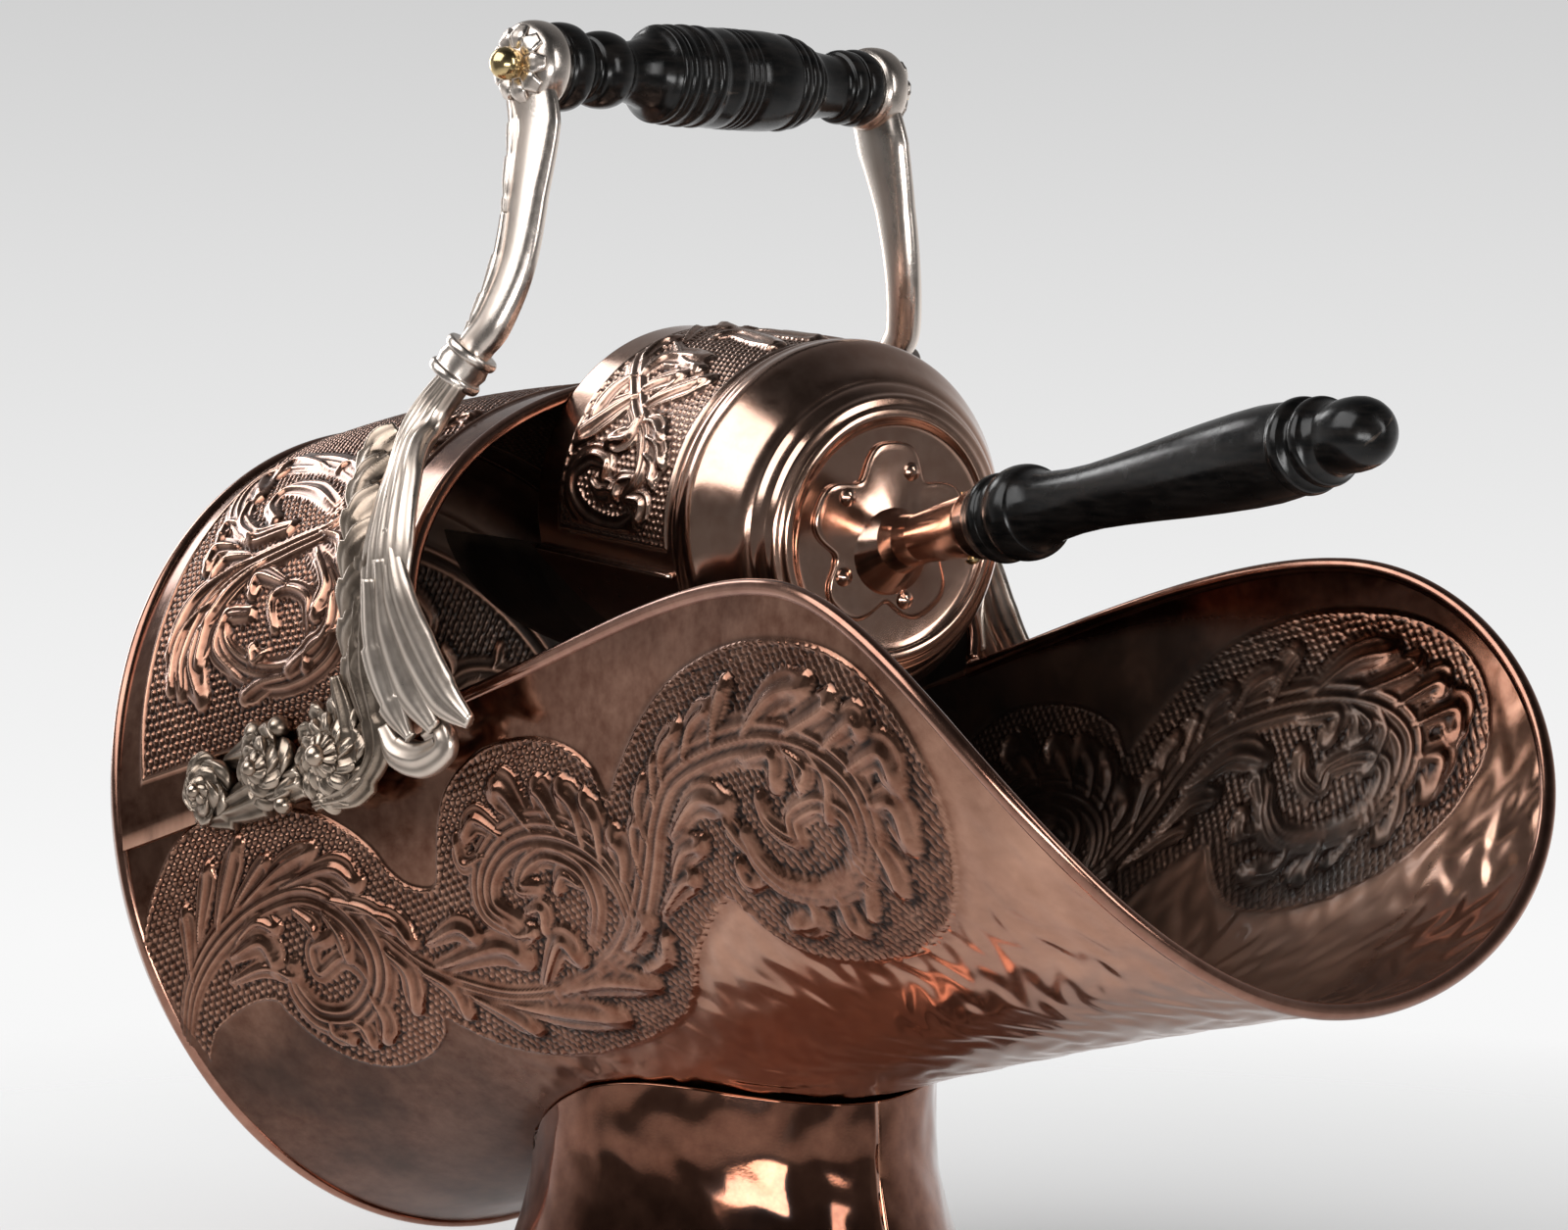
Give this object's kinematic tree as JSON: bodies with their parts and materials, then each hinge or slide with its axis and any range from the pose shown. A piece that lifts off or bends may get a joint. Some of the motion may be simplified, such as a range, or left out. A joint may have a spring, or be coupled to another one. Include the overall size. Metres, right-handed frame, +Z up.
{
  "type": "coal scuttle",
  "caption": "Embossed copper helmet scuttle on a flared foot, with a fixed cast brass bail, a turned black grip and a hooded hand shovel lying in its mouth.",
  "frame": {"origin": "on the floor at the centre of the foot", "axes": "+X forward to the pouring lip, +Y to the scuttle's left, +Z up"},
  "size_m": [0.6059, 0.3352, 0.524],
  "materials": {
    "copper_body": "red-brown patinated copper sheet, polished on its raised ornament",
    "copper_wire": "rubbed copper over wire",
    "copper_shovel": "polished copper",
    "cast_brass": "tarnished cast brass with dark hollows",
    "pale_brass": "pale rubbed brass",
    "black_wood": "ebonised turned wood, waxed",
    "iron": "blackened iron sheet and rod"
  },
  "bodies": {
    "scuttle": {"trough": "copper_body", "hood": "copper_body", "back_plate": "copper_body", "back_rim": "copper_wire", "mouth_rim": "copper_wire", "hood_rim": "copper_wire", "foot": "copper_body", "foot_rim": "copper_wire", "bracket_left": "cast_brass", "bracket_right": "cast_brass", "collar_left": "pale_brass", "collar_right": "pale_brass", "bail_arm_left": "pale_brass", "bail_arm_right": "pale_brass", "grip_rod": "iron", "ball_nut_left": "pale_brass", "ball_nut_right": "pale_brass"},
    "grip": {"grip": "black_wood"},
    "shovel": {"shovel_end": "copper_shovel", "shovel_hood": "copper_shovel", "shovel_barrel": "copper_shovel", "shovel_scoop": "iron", "shovel_socket_plate": "copper_shovel", "shovel_plate_rivets": "copper_shovel", "shovel_socket": "cast_brass", "shovel_pin": "pale_brass", "shovel_handle": "black_wood"}
  },
  "joints": [
    {"name": "grip_spin", "type": "hinge", "parent": "scuttle", "child": "grip", "pos_m": [-0.016, 0, 0.504], "axis": [0, 1, 0], "continuous": true},
    {"name": "shovel_lift", "type": "slide", "parent": "scuttle", "child": "shovel", "axis": [0.9848, 0, 0.1736], "range_m": [0, 0.25]}
  ]
}
